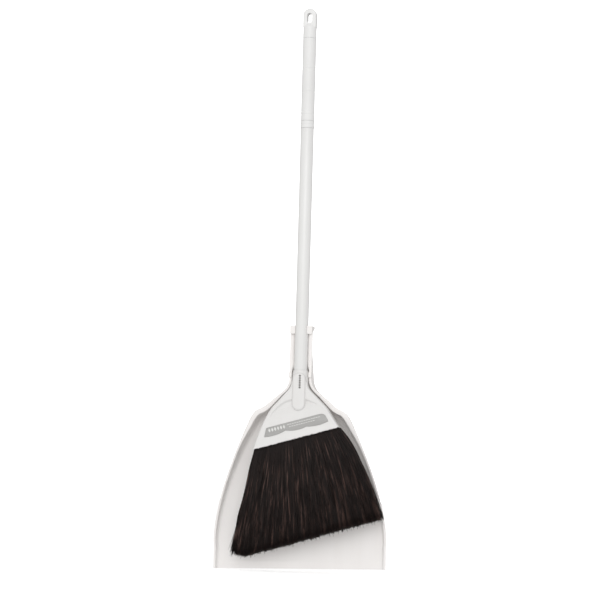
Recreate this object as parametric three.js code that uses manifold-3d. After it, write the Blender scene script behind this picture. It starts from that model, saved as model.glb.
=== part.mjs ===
// Dust pan and brush set: a long brush clipped into an upright dust pan.
// Millimetres, +Z up, +X to the right, +Y to the back. Heights are measured from the pan's
// lip, and the finished group is lowered so that its origin is the centre of the hanging slot.

import * as THREE from 'three';
import { mergeVertices } from 'three/addons/utils/BufferGeometryUtils.js';
import Module from 'manifold-3d';

const wasm = await Module();
wasm.setup();

// ---- Driving dimensions -------------------------------------------------------------

const TOTAL_HEIGHT = 800; // lip of the pan to the top of the hanging loop
const FIT_GAP = 0.3; // clearance wherever two pieces meet
const ROUND_SIDES = 32;

// Handle: a pipe, a grip with ring grooves, and a cap with a hanging slot.
const PIPE_RADIUS = 9.5;
const PIPE_WALL = 0.8;
const PIPE_BOTTOM = 243;
const PIPE_TOP = 627;
const GRIP_RADIUS = 9.7;
const GRIP_WALL = 2.2;
const GRIP_BOTTOM = 637.5;
const GRIP_TOP = 757;
const GRIP_SPIGOT_LENGTH = 42;
const GRIP_GROOVES = [646.5, 679.5, 713];
const GROOVE_WIDTH = 2.4;
const GROOVE_DEPTH = 0.5;
const FERRULE_RADIUS = 9.95;
const LOOP_HALF_WIDTH = 9.6;
const LOOP_THICKNESS = 13;
const LOOP_FOOT = 775;
const SLOT_HALF_WIDTH = 3.4;
const SLOT_HEIGHT = 14;
const SLOT_CENTRE = TOTAL_HEIGHT - 14;
const CAP_SPIGOT_LENGTH = 26;

// Head: two shells around a bristle block, with a tubular socket for the pipe.
const HEAD_HALF_DEPTH = 11;
const HEAD_WALL = 2;
const HEAD_EDGE_BEVEL = 2.5;
const HEAD_SLANT = THREE.MathUtils.degToRad(15.8);
const HEAD_EDGE_MIDDLE = 184.3; // height of the slanted lower edge on the centre line
const HEAD_NECK_TOP = 258;
const SOCKET_RADIUS = 11.5;
const SOCKET_SHOULDER = 275;
const SOCKET_TOP = 281;
const RIB_HALF_WIDTH = 9.3;
const RIB_FRONT = -14;
const RIB_BOTTOM = 223.5;
const RIB_BEVEL = 2.8;
const ARCH_RADIUS = 43;
const ARCH_CENTRE_HEIGHT = 195.5;
const ARCH_SILL = 223.5; // height of the arched recess's slanted sill on the centre line
const ARCH_DEPTH = 2.6; // at its deepest, along the arch
const ARCH_RISE = 9; // height over which the recess reaches that depth above its sill
const ARCH_BACKING = 2; // wall behind the recess
const LABEL_SINK = 0.8;
const LABEL_THICKNESS = 0.9;
const SCREW_HEAD_RADIUS = 3.2;
const SCREW_SHANK_RADIUS = 1.4;
const SCREW_LENGTH = 15;
const SCREW_POST_WALL = 1.8;
const SCREW_SEAT = 8.4; // depth, from the parting plane, of the face a screw head sits on

// Bristles: rows of tufts that fan out below the block.
const TUFT_ROWS = 3;
const TUFTS_PER_ROW = 14;
const ROW_PITCH = 6.4;
const BLOCK_HEIGHT = 15;
const TUFT_SIDES = 6;
const TUFT_STEPS = 4;

// Pan: a scoop with raised walls, a short neck and a U-shaped channel for the pipe.
const PAN_BACK = 36;
const PAN_WALL = 2.4;
const PAN_RIM_WIDTH = 3.4;
const PAN_SHOULDER_RIM = 4; // how much wider the rim grows round the shoulders
const PAN_FLANGE = 1.4;
const PAN_FLANGE_THICKNESS = 2.4;
const PAN_DRAFT = 0.02; // share of the width lost between the rim's plane and the back
const LIP_HALF_WIDTH = 126;
const LIP_SLOPE = 0.022; // the lip rises a little to the right
const LIP_EDGE = 0.9;
const LIP_RAMP = 10.8;
const CHANNEL_RADIUS = 16;
const CHANNEL_BORE = 12.1;
const CHANNEL_SNUG_BORE = PIPE_RADIUS + FIT_GAP; // above the socket, where only the pipe passes
const CHANNEL_SNUG_BOTTOM = 282;
const CHANNEL_FRONT = -2.5;
const CHANNEL_BOTTOM = 252;
const CHANNEL_TOP = 344;
const COLLAR_HEIGHT = 11.5;
const COLLAR_FRONT = -7;
const COLLAR_BACK = 20;
const COLLAR_BORE = PIPE_RADIUS + 0.4;
const LUG_BOTTOM = 270.6;
const LUG_TOP = 278;
const LUG_FRONT = -6;

// ---- Materials ----------------------------------------------------------------------

const paint = (color, roughness, metalness = 0) =>
  new THREE.MeshStandardMaterial({ color, roughness, metalness });

const MATERIALS = {
  whitePlastic: paint(0xf0f0ee, 0.42),
  coatedPipe: paint(0xeeeeec, 0.3),
  panPlastic: paint(0xf2f2f0, 0.45),
  bristle: paint(0x2a201d, 0.7),
  wood: paint(0xb99c72, 0.75),
  label: paint(0xa5a6a8, 0.5),
  steel: paint(0xb8b9ba, 0.35, 0.9),
};

// ---- Solids: from three.js geometry to a manifold and back --------------------------

function toSolid(geometry) {
  const bare = geometry.clone();
  bare.deleteAttribute('normal');
  bare.deleteAttribute('uv');
  const merged = mergeVertices(bare, 1e-4);
  return new wasm.Manifold(
    new wasm.Mesh({
      numProp: 3,
      vertProperties: new Float32Array(merged.attributes.position.array),
      triVerts: new Uint32Array(merged.index.array),
    }),
  );
}

function toGeometry(solid) {
  const mesh = solid.getMesh();
  const geometry = new THREE.BufferGeometry();
  geometry.setAttribute('position', new THREE.BufferAttribute(mesh.vertProperties, 3));
  geometry.setIndex(new THREE.BufferAttribute(mesh.triVerts, 1));
  geometry.computeVertexNormals();
  return geometry;
}

const union = (...solids) => solids.reduce((sum, solid) => sum.add(solid));
const cut = (solid, ...tools) => tools.reduce((rest, tool) => rest.subtract(tool), solid);

// ---- Outlines -----------------------------------------------------------------------

const outline = (points) => new THREE.Shape(points.map(([x, y]) => new THREE.Vector2(x, y)));

const rectangle = (x0, y0, x1, y1) => outline([[x0, y0], [x1, y0], [x1, y1], [x0, y1]]);

/** A closed outline from its right-hand half, given from the bottom up. */
function mirrored(half) {
  const left = half.map(([x, y]) => [-x, y]).reverse();
  return outline([...half, ...left]);
}

/** Points along a chain of curves, as [x, y] pairs, without doubled ends. */
function sampled(curves, stepsEach) {
  const points = curves.flatMap((curve, i) =>
    curve.getPoints(curve.isLineCurve ? 1 : stepsEach).slice(i === 0 ? 0 : 1));
  return points.map((p) => [p.x, p.y]);
}

/** Moves an open chain of points to its left, by a distance that may depend on the height. */
function offset(points, distanceAt) {
  return points.map(([x, y], i) => {
    const [ax, ay] = points[Math.max(i - 1, 0)];
    const [bx, by] = points[Math.min(i + 1, points.length - 1)];
    const share = distanceAt(y) / Math.hypot(bx - ax, by - ay);
    return [x - share * (by - ay), y + share * (bx - ax)];
  });
}

const vec = (x, y) => new THREE.Vector2(x, y);

// ---- Basic bodies -------------------------------------------------------------------

/** An outline drawn in X and Z, as a plate from depth front to depth back. */
function plate(shape, front, back, bevel = 0) {
  const geometry = new THREE.ExtrudeGeometry(shape, {
    depth: back - front - 2 * bevel,
    bevelEnabled: bevel > 0,
    bevelThickness: bevel,
    bevelSize: bevel,
    bevelOffset: -bevel,
    bevelSegments: 2,
    curveSegments: 12,
  });
  return geometry.rotateX(Math.PI / 2).translate(0, back - bevel, 0);
}

/** An outline drawn in Y and Z, as a bar centred on the middle plane. */
function bar(shape, halfWidth) {
  const geometry = new THREE.ExtrudeGeometry(shape, { depth: 2 * halfWidth, bevelEnabled: false });
  return geometry.translate(0, 0, -halfWidth).rotateY(Math.PI / 2).rotateX(Math.PI / 2);
}

/** An outline drawn in X and Y, as a column between two heights. */
function column(shape, bottom, top) {
  const settings = { depth: top - bottom, bevelEnabled: false, curveSegments: 12 };
  return new THREE.ExtrudeGeometry(shape, settings).translate(0, 0, bottom);
}

/** A body of revolution about the Z axis, from [radius, height] pairs, closed on itself. */
function turned(profile, sides = ROUND_SIDES) {
  const points = [...profile, profile[0]].map(([r, z]) => vec(r, z));
  return new THREE.LatheGeometry(points, sides).rotateX(Math.PI / 2);
}

/** A tube about the Z axis. */
const tube = (inner, outer, bottom, top) =>
  turned([[outer, bottom], [outer, top], [inner, top], [inner, bottom]]);

/** A solid round rod about the Z axis. */
const rod = (radius, bottom, top, sides = ROUND_SIDES) =>
  new THREE.CylinderGeometry(radius, radius, top - bottom, sides)
    .rotateX(Math.PI / 2)
    .translate(0, 0, (bottom + top) / 2);

// ---- Handle -------------------------------------------------------------------------

function handlePipe() {
  const pipe = toSolid(tube(PIPE_RADIUS - PIPE_WALL, PIPE_RADIUS, PIPE_BOTTOM, PIPE_TOP));
  const topScrew = SCREW_PLACES.head_screw_top;
  return toGeometry(pipe.subtract(screwHole(topScrew, SCREW_SHANK_RADIUS + FIT_GAP)));
}

/** Outer profile of the grip, from the bottom up, with its ring grooves. */
function groovedProfile() {
  return GRIP_GROOVES.flatMap((z) => [
    [GRIP_RADIUS, z - GROOVE_WIDTH / 2],
    [GRIP_RADIUS - GROOVE_DEPTH, z - GROOVE_WIDTH / 4],
    [GRIP_RADIUS - GROOVE_DEPTH, z + GROOVE_WIDTH / 4],
    [GRIP_RADIUS, z + GROOVE_WIDTH / 2],
  ]);
}

function gripSleeve() {
  const bore = GRIP_RADIUS - GRIP_WALL;
  const spigot = PIPE_RADIUS - PIPE_WALL - FIT_GAP;
  const spigotBore = spigot - 1.6;
  const spigotBottom = PIPE_TOP - GRIP_SPIGOT_LENGTH;
  return turned([
    [spigot, spigotBottom],
    [spigot, GRIP_BOTTOM],
    [GRIP_RADIUS - 0.4, GRIP_BOTTOM],
    [GRIP_RADIUS, GRIP_BOTTOM + 0.8],
    ...groovedProfile(),
    [GRIP_RADIUS, GRIP_TOP - 0.6],
    [GRIP_RADIUS - 0.6, GRIP_TOP],
    [bore, GRIP_TOP],
    [bore, GRIP_BOTTOM + 4],
    [spigotBore, GRIP_BOTTOM],
    [spigotBore, spigotBottom],
  ]);
}

function jointFerrule() {
  const bore = PIPE_RADIUS - PIPE_WALL;
  const bottom = PIPE_TOP + FIT_GAP;
  const top = GRIP_BOTTOM - FIT_GAP;
  const middle = (bottom + top) / 2;
  return turned([
    [PIPE_RADIUS, bottom],
    [FERRULE_RADIUS, bottom + 0.8],
    [FERRULE_RADIUS, middle - 0.9],
    [FERRULE_RADIUS - 0.4, middle],
    [FERRULE_RADIUS, middle + 0.9],
    [FERRULE_RADIUS, top - 0.8],
    [PIPE_RADIUS, top],
    [bore, top],
    [bore, bottom],
  ]);
}

/** Outline of the loop plate, or of its slot: a box with a round top, and a round foot if asked. */
function stadium(halfWidth, bottom, top, roundFoot) {
  const shape = new THREE.Shape();
  shape.absarc(0, top - halfWidth, halfWidth, 0, Math.PI, false);
  if (roundFoot) shape.absarc(0, bottom + halfWidth, halfWidth, Math.PI, 2 * Math.PI, false);
  else shape.lineTo(-halfWidth, bottom).lineTo(halfWidth, bottom);
  return shape;
}

function hangingCap() {
  const neckBottom = GRIP_TOP + FIT_GAP;
  const spigot = GRIP_RADIUS - GRIP_WALL - FIT_GAP;
  const neck = toSolid(turned([
    [0, GRIP_TOP - CAP_SPIGOT_LENGTH],
    [spigot, GRIP_TOP - CAP_SPIGOT_LENGTH],
    [spigot, neckBottom],
    [GRIP_RADIUS - 0.5, neckBottom],
    [GRIP_RADIUS, neckBottom + 0.8],
    [GRIP_RADIUS, LOOP_FOOT - 4],
    [GRIP_RADIUS - 1.2, LOOP_FOOT],
    [LOOP_THICKNESS / 2, LOOP_FOOT + 4],
    [0, LOOP_FOOT + 4],
  ]));
  const half = LOOP_THICKNESS / 2;
  const loop = toSolid(
    plate(stadium(LOOP_HALF_WIDTH, LOOP_FOOT, TOTAL_HEIGHT, false), -half, half, 1.5),
  );
  const slotBottom = SLOT_CENTRE - SLOT_HEIGHT / 2;
  const slotTop = SLOT_CENTRE + SLOT_HEIGHT / 2;
  const slot = toSolid(
    plate(stadium(SLOT_HALF_WIDTH, slotBottom, slotTop, true), -GRIP_RADIUS - 1, GRIP_RADIUS + 1),
  );
  return toGeometry(cut(union(neck, loop), slot));
}

// ---- Head ---------------------------------------------------------------------------

/** Height of the head's slanted lower edge at x, raised by lift. */
const edgeHeight = (x, lift = 0) => HEAD_EDGE_MIDDLE + lift + x * Math.tan(HEAD_SLANT);

/** One side of the fan, from well below its corner up to the neck, drawn on the right. */
const fanSide = (corner, bend, shoulder) => sampled([
  new THREE.LineCurve(vec(corner.x + 3, corner.y - 40), corner),
  new THREE.QuadraticBezierCurve(corner, bend, vec(shoulder, 221.8)),
  new THREE.QuadraticBezierCurve(
    vec(shoulder, 221.8), vec(shoulder - 3.7, 228.5), vec(shoulder - 9.9, 234.2)),
  new THREE.LineCurve(vec(shoulder - 9.9, 234.2), vec(16, 252.2)),
  new THREE.QuadraticBezierCurve(vec(16, 252.2), vec(12, 256.8), vec(SOCKET_RADIUS, 262)),
], 6);

/** The fan drawn in by a margin, with its lower edge left low: the slant is cut afterwards. */
function fanOutline(margin = 0) {
  const right = offset(fanSide(vec(59.5, 199), vec(51.5, 211), 44.2), () => margin);
  const left = offset(fanSide(vec(64.5, 166), vec(52.5, 205), 42), () => margin);
  return outline([...right, ...left.map(([x, y]) => [-x, y]).reverse()]);
}

/** Everything above the slanted line that passes the centre line at the given height. */
function aboveSlant(height) {
  const reach = 160;
  const rise = reach * Math.tan(HEAD_SLANT);
  const shape = outline([[-reach, height - rise], [reach, height + rise], [reach, 420], [-reach, 420]]);
  return toSolid(plate(shape, -60, 60));
}

/** The arched recess in the front of the head, or the wall behind it if deepened. */
function archSolid(deeper) {
  const arch = new THREE.Shape();
  arch.absarc(1, ARCH_CENTRE_HEIGHT, ARCH_RADIUS + deeper, 0, Math.PI, false);
  const face = deeper - HEAD_HALF_DEPTH;
  const side = outline([
    [-40, -ARCH_RISE], [face, -deeper], [face + ARCH_DEPTH, ARCH_RISE], [face + ARCH_DEPTH, 60], [-40, 60],
  ]);
  const wedge = bar(side, 100).rotateY(-HEAD_SLANT).translate(0, 0, ARCH_SILL);
  return toSolid(plate(arch, -30, 0)).intersect(toSolid(wedge));
}

/** The rib that runs down the middle of the head, from the socket across the arched recess. */
function ribSolid() {
  const top = SOCKET_TOP - 6;
  const shape = new THREE.Shape();
  shape.absarc(0, RIB_BOTTOM + RIB_HALF_WIDTH, RIB_HALF_WIDTH, Math.PI, 2 * Math.PI, false);
  shape.lineTo(RIB_HALF_WIDTH, top).lineTo(-RIB_HALF_WIDTH, top);
  return toSolid(plate(shape, RIB_FRONT, HEAD_HALF_DEPTH - HEAD_WALL, RIB_BEVEL));
}

/** The socket's outside: a round tube with a sloping shoulder. */
const socketSolid = () => toSolid(turned([
  [0, HEAD_NECK_TOP - 20],
  [SOCKET_RADIUS - 0.6, HEAD_NECK_TOP - 20],
  [SOCKET_RADIUS, HEAD_NECK_TOP - 10],
  [SOCKET_RADIUS, SOCKET_SHOULDER],
  [PIPE_RADIUS + 0.9, SOCKET_TOP],
  [0, SOCKET_TOP],
]));

/** Outline of the label panel: slanted, with rounded right-hand end and a wavy lower edge. */
function labelOutline(inset) {
  const shape = new THREE.Shape();
  shape.moveTo(-48 + inset, 184.5 + inset);
  shape.quadraticCurveTo(-28, 187.5 + inset, -18, 194.8 + inset);
  shape.quadraticCurveTo(0, 194 + inset, 12, 201.2 + inset);
  shape.quadraticCurveTo(30, 201.5 + inset, 43.5 - inset, 209.5 + inset);
  shape.lineTo(39.5 - inset, 216.5 - inset);
  shape.quadraticCurveTo(37, 220.5 - inset, 31, 219.4 - inset);
  shape.lineTo(-45.5 + inset, 197.8 - inset);
  return shape;
}

/** The hollow between the two shells, before its inner walls are put back. */
function cavitySolid() {
  const depth = HEAD_HALF_DEPTH - HEAD_WALL;
  return toSolid(plate(fanOutline(HEAD_WALL), -depth, depth));
}

/** Where the screws go in from behind: [x, height]. */
const SCREW_PLACES = {
  head_screw_left: [-42, 209],
  head_screw_right: [41, 217.6],
  head_screw_top: [0, 264],
};

/** A round hole or post along Y at a screw's place, from depth front to depth back. */
function screwHole([x, z], radius, front = -30, back = 30) {
  const hole = rod(radius, front, back, 16).rotateX(-Math.PI / 2).translate(x, 0, z);
  return toSolid(hole);
}

function headSolid() {
  const face = -HEAD_HALF_DEPTH;
  const fan = toSolid(plate(fanOutline(), face, HEAD_HALF_DEPTH, HEAD_EDGE_BEVEL));
  const outside = union(fan, socketSolid()).intersect(aboveSlant(HEAD_EDGE_MIDDLE));
  const sides = Object.values(SCREW_PLACES).slice(0, 2);
  const keep = union(
    archSolid(ARCH_BACKING),
    toSolid(rod(SOCKET_RADIUS, PIPE_BOTTOM - 3, SOCKET_TOP + 5)),
    ...sides.map((place) => screwHole(place, SCREW_HEAD_RADIUS + SCREW_POST_WALL)),
  );
  const hollow = cavitySolid().subtract(keep);
  const recessed = cut(outside, hollow, archSolid(0));
  const bore = toSolid(rod(PIPE_RADIUS + FIT_GAP, PIPE_BOTTOM - FIT_GAP, SOCKET_TOP + 5));
  return union(recessed, ribSolid()).subtract(bore);
}

const headWhole = headSolid();

/** The part of a solid that lies between two depths. */
const between = (solid, front, back) =>
  solid.intersect(toSolid(plate(rectangle(-200, -50, 200, 850), front, back)));

function headFrontShell() {
  const pocket = toSolid(
    plate(labelOutline(0), -HEAD_HALF_DEPTH - 5, -HEAD_HALF_DEPTH + LABEL_SINK),
  );
  const sides = Object.values(SCREW_PLACES).slice(0, 2);
  const pilots = sides.map((place) =>
    screwHole(place, SCREW_SHANK_RADIUS + FIT_GAP, SCREW_SEAT - SCREW_LENGTH - 1, 5));
  const shell = between(headWhole, -40, -FIT_GAP / 2);
  return toGeometry(cut(shell, pocket, ...pilots));
}

function headRearShell() {
  const holes = Object.values(SCREW_PLACES).flatMap((place) => [
    screwHole(place, SCREW_SHANK_RADIUS + FIT_GAP, -5, 20),
    screwHole(place, SCREW_HEAD_RADIUS + FIT_GAP, seatDepth(place), 20),
  ]);
  return toGeometry(cut(between(headWhole, FIT_GAP / 2, 40), ...holes));
}

/** The top screw only has to reach through the pipe's wall, so its seat is deeper out. */
const seatDepth = ([, z]) => (z > HEAD_NECK_TOP ? PIPE_RADIUS + 1.1 : SCREW_SEAT);

function headScrew(place) {
  const [x, z] = place;
  const seat = seatDepth(place) + FIT_GAP;
  const length = z > HEAD_NECK_TOP ? 6 : SCREW_LENGTH;
  const screw = turned([
    [0, seat - length],
    [SCREW_SHANK_RADIUS, seat - length + 1.5],
    [SCREW_SHANK_RADIUS, seat],
    [SCREW_HEAD_RADIUS, seat],
    [SCREW_HEAD_RADIUS, seat + 0.8],
    [SCREW_HEAD_RADIUS - 1.1, seat + 1.7],
    [0, seat + 1.9],
  ], 16);
  return screw.rotateX(-Math.PI / 2).translate(x, 0, z);
}

function labelPanel() {
  const back = -HEAD_HALF_DEPTH + LABEL_SINK - FIT_GAP;
  return plate(labelOutline(FIT_GAP), back - LABEL_THICKNESS, back);
}

/** The bar that holds the bristles, wedged between the shells along their lower edge. */
function bristleBlock() {
  const depth = HEAD_HALF_DEPTH - HEAD_WALL - FIT_GAP;
  const full = toSolid(plate(fanOutline(HEAD_WALL + FIT_GAP), -depth, depth));
  const low = full.intersect(aboveSlant(HEAD_EDGE_MIDDLE));
  return toGeometry(low.subtract(aboveSlant(HEAD_EDGE_MIDDLE + BLOCK_HEIGHT)));
}

// ---- Bristles -----------------------------------------------------------------------

/** Left and right limits of the bristles, each from its root, through a bend, to its tip. */
const LEFT_STRANDS = [vec(-61.5, 0), vec(-77, 95), vec(-88, 14)];
const RIGHT_STRANDS = [vec(56, 0), vec(85, 168), vec(118, 75)];

/** The middle line of the tuft that stands a given share of the way from left to right. */
function tuftCurve(share) {
  const [root, bend, tip] = [0, 1, 2].map((i) =>
    LEFT_STRANDS[i].clone().lerp(RIGHT_STRANDS[i], share));
  root.y = edgeHeight(root.x, -FIT_GAP - 0.2);
  return new THREE.QuadraticBezierCurve(root, bend, tip);
}

/** One tuft: a bent, widening bundle between the middle lines of its neighbours. */
function tuft(row, place) {
  const rowShare = row - (TUFT_ROWS - 1) / 2;
  const stagger = 0.25 * (row % 2 === 0 ? -1 : 1);
  const reach = row === TUFT_ROWS - 1 ? 0.93 : 1; // the back row stays clear of the pan's wall
  const share = (step) => ((place + step + stagger + 0.5) / TUFTS_PER_ROW) * reach;
  const [left, right] = [tuftCurve(share(-0.44)), tuftCurve(share(0.44))];
  const halfDepth = ROW_PITCH / 2 - FIT_GAP;
  const depthAt = (t) => rowShare * ROW_PITCH * (1 + 0.12 * t);
  const rings = [];
  for (let step = 0; step <= TUFT_STEPS; step += 1) {
    const t = step / TUFT_STEPS;
    rings.push(tuftRing(left.getPoint(t), right.getPoint(t), depthAt(t), halfDepth));
  }
  return lofted(rings);
}

/** A six-sided section between two points of the front view, at a given depth. */
function tuftRing(left, right, depth, halfDepth) {
  const middle = left.clone().lerp(right, 0.5);
  const half = right.clone().sub(left).multiplyScalar(0.5);
  return Array.from({ length: TUFT_SIDES }, (_, i) => {
    const angle = (i / TUFT_SIDES) * 2 * Math.PI;
    const across = Math.cos(angle);
    const deep = Math.sign(Math.round(Math.sin(angle) * 10)) * halfDepth;
    return [middle.x + half.x * across, depth + deep, middle.y + half.y * across];
  });
}

/** A closed body through equal rings of points, from the top ring down, with flat ends. */
function lofted(rings) {
  const sides = rings[0].length;
  const index = [];
  for (let ring = 0; ring < rings.length - 1; ring += 1) {
    for (let i = 0; i < sides; i += 1) {
      const [a, b] = [ring * sides + i, ring * sides + ((i + 1) % sides)];
      index.push(a, a + sides, b, b, a + sides, b + sides);
    }
  }
  const last = (rings.length - 1) * sides;
  for (let i = 1; i < sides - 1; i += 1) {
    index.push(0, i, i + 1, last, last + i + 1, last + i);
  }
  const geometry = new THREE.BufferGeometry();
  geometry.setAttribute('position', new THREE.Float32BufferAttribute(rings.flat(2), 3));
  geometry.setIndex(index);
  return geometry;
}

// ---- Pan ----------------------------------------------------------------------------

/** Right-hand side of the pan's rim, from the lip up to the channel. */
const panSide = () => sampled([
  new THREE.LineCurve(vec(LIP_HALF_WIDTH, -8), vec(LIP_HALF_WIDTH + 0.5, 38)),
  new THREE.CubicBezierCurve(
    vec(LIP_HALF_WIDTH + 0.5, 38), vec(LIP_HALF_WIDTH, 92), vec(98, 160), vec(74.5, 208)),
  new THREE.QuadraticBezierCurve(vec(74.5, 208), vec(67, 224.5), vec(57.5, 226.4)),
  new THREE.QuadraticBezierCurve(vec(57.5, 226.4), vec(53, 228), vec(46, 234)),
  new THREE.LineCurve(vec(46, 234), vec(25.5, 250.8)),
  new THREE.QuadraticBezierCurve(vec(25.5, 250.8), vec(16, 257.5), vec(CHANNEL_RADIUS, 270)),
], 8);

/** Width of the rim's face at a height: wider round the shoulders. */
function rimWidth(height) {
  const { smoothstep } = THREE.MathUtils;
  return PAN_RIM_WIDTH
    + PAN_SHOULDER_RIM * smoothstep(height, 165, 222) * (1 - smoothstep(height, 226, 256));
}

/** Draws the walls in towards the back, as a moulded tray needs. */
function drafted(geometry) {
  const place = geometry.attributes.position;
  for (let i = 0; i < place.count; i += 1) {
    const scale = 1 - (PAN_DRAFT * place.getY(i)) / PAN_BACK;
    place.setX(i, place.getX(i) * scale);
  }
  return geometry;
}

/** The rim in side view, as [depth, height], from the lip up to the collar. */
const rimSide = () => sampled([
  new THREE.SplineCurve([
    vec(27.5, -8), vec(26.8, 20), vec(24.8, 62), vec(16, 150), vec(3.5, 215), vec(0, 245),
  ]),
  new THREE.LineCurve(vec(0, 245), vec(CHANNEL_FRONT, 262)),
  new THREE.LineCurve(vec(CHANNEL_FRONT, 262), vec(CHANNEL_FRONT, CHANNEL_TOP)),
], 12);

/** Everything behind the rim, up to a given depth behind it or to the far back. */
function behindRim(depth) {
  const rim = rimSide();
  const back = depth
    ? rim.map(([y, z]) => [y + depth, z]).reverse()
    : [[80, CHANNEL_TOP], [80, -8]];
  return toSolid(bar(outline([...rim, ...back]), 200));
}

/** The back of the pan in side view, with its sloping heel, moved inwards by a wall. */
function backSide(wall) {
  const floor = PAN_BACK - wall;
  const lip = wall > 0 ? [[PAN_BACK - LIP_EDGE, -8], [PAN_BACK - LIP_EDGE, 0], [floor, LIP_RAMP]]
    : [[floor, -8]];
  return outline([
    [-60, -8], ...lip, [floor, 249 - wall], [4 - wall, 312 - wall], [-60, 312 - wall],
  ]);
}

/** The channel's section: half round at the back, straight at the front. */
function channelSection(radius, front) {
  const shape = new THREE.Shape();
  shape.absarc(0, 0, radius, 0, Math.PI, false);
  shape.lineTo(-radius, front).lineTo(radius, front);
  return shape;
}

/** The bore where only the pipe passes: close round its back, flared towards the front. */
function snugSection() {
  const shape = new THREE.Shape();
  shape.absarc(0, 0, CHANNEL_SNUG_BORE, 0, Math.PI, false);
  shape.lineTo(-CHANNEL_BORE, CHANNEL_FRONT).lineTo(-CHANNEL_BORE, -40);
  shape.lineTo(CHANNEL_BORE, -40).lineTo(CHANNEL_BORE, CHANNEL_FRONT);
  return shape;
}

/** The snap collar at the channel's top: deep at its upper edge, cut away below. */
function collarSolid() {
  const bottom = CHANNEL_TOP - COLLAR_HEIGHT;
  const side = outline([
    [COLLAR_FRONT, bottom + 1], [COLLAR_FRONT + 1, bottom], [COLLAR_FRONT + 4, bottom],
    [COLLAR_BACK, CHANNEL_TOP - 2], [COLLAR_BACK, CHANNEL_TOP],
    [COLLAR_FRONT + 1, CHANNEL_TOP], [COLLAR_FRONT, CHANNEL_TOP - 1],
  ]);
  return toSolid(bar(side, CHANNEL_RADIUS));
}

/** The pair of lugs that grip the socket. */
function lugSolids() {
  const inner = SOCKET_RADIUS + FIT_GAP;
  return [-1, 1].map((side) => {
    const [a, b] = [side * inner, side * CHANNEL_RADIUS].sort((p, q) => p - q);
    return toSolid(column(rectangle(a, LUG_FRONT, b, 3), LUG_BOTTOM, LUG_TOP));
  });
}

function panBody() {
  const side = panSide();
  const wallLine = offset(side, () => PAN_FLANGE);
  const wallPlate = toSolid(drafted(plate(mirrored(wallLine), -20, PAN_BACK)));
  const rimPlate = toSolid(drafted(plate(mirrored(side), -20, PAN_BACK)));
  const inside = toSolid(drafted(plate(mirrored(offset(side, rimWidth)), -40, PAN_BACK)));
  const neck = toSolid(plate(rectangle(-CHANNEL_RADIUS, CHANNEL_BOTTOM, CHANNEL_RADIUS, 312), 0, 40));
  const tray = union(wallPlate, neck).intersect(toSolid(bar(backSide(0), 200)));
  const scoop = union(
    tray.intersect(behindRim()),
    rimPlate.intersect(behindRim(PAN_FLANGE_THICKNESS)),
  );
  const channel = toSolid(
    column(channelSection(CHANNEL_RADIUS, CHANNEL_FRONT), CHANNEL_BOTTOM, CHANNEL_TOP));
  const outside = union(scoop, channel, collarSolid());

  const heelHollow = toSolid(plate(
    rectangle(-CHANNEL_BORE, CHANNEL_BOTTOM - 20, CHANNEL_BORE, CHANNEL_SNUG_BOTTOM), -40, 40));
  const hollow = union(inside, heelHollow).intersect(toSolid(bar(backSide(PAN_WALL), 200)));
  const collarBottom = CHANNEL_TOP - COLLAR_HEIGHT;
  const channelHollow = union(
    toSolid(column(channelSection(CHANNEL_BORE, -40), CHANNEL_BOTTOM - 4, CHANNEL_SNUG_BOTTOM)),
    toSolid(column(snugSection(), CHANNEL_SNUG_BOTTOM - 1, collarBottom)),
  );
  const collarBore = toSolid(column(channelSection(COLLAR_BORE, -40), 320, CHANNEL_TOP + 5));
  const lipRise = 200 * LIP_SLOPE;
  const below = outline([[-200, -60], [200, -60], [200, lipRise], [-200, -lipRise]]);
  const belowLip = toSolid(plate(below, -100, 100));
  const trough = cut(outside, hollow, channelHollow, collarBore, belowLip);
  return toGeometry(union(trough, ...lugSolids()));
}

// ---- Assembly -----------------------------------------------------------------------

function named(name, geometry, material) {
  const mesh = new THREE.Mesh(geometry, material);
  mesh.name = name;
  return mesh;
}

function brush() {
  const group = new THREE.Group();
  group.add(
    named('handle_pipe', handlePipe(), MATERIALS.coatedPipe),
    named('grip_sleeve', gripSleeve(), MATERIALS.whitePlastic),
    named('joint_ferrule', jointFerrule(), MATERIALS.whitePlastic),
    named('hanging_cap', hangingCap(), MATERIALS.whitePlastic),
    named('head_front_shell', headFrontShell(), MATERIALS.whitePlastic),
    named('head_rear_shell', headRearShell(), MATERIALS.whitePlastic),
    named('bristle_block', bristleBlock(), MATERIALS.wood),
    named('label_panel', labelPanel(), MATERIALS.label),
  );
  for (const [name, place] of Object.entries(SCREW_PLACES)) {
    group.add(named(name, headScrew(place), MATERIALS.steel));
  }
  const rowNames = ['front', 'middle', 'back'];
  for (let row = 0; row < TUFT_ROWS; row += 1) {
    for (let place = 0; place < TUFTS_PER_ROW; place += 1) {
      const number = String(place + 1).padStart(2, '0');
      group.add(named(`tuft_${rowNames[row]}_${number}`, tuft(row, place), MATERIALS.bristle));
    }
  }
  return group;
}

const set = new THREE.Group();
set.add(brush(), named('pan_body', panBody(), MATERIALS.panPlastic));
set.position.z = -SLOT_CENTRE;

export default set;
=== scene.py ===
import math

import bmesh
import bpy
import numpy as np
from mathutils import Matrix, Vector
from mathutils.geometry import tessellate_polygon


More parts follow.
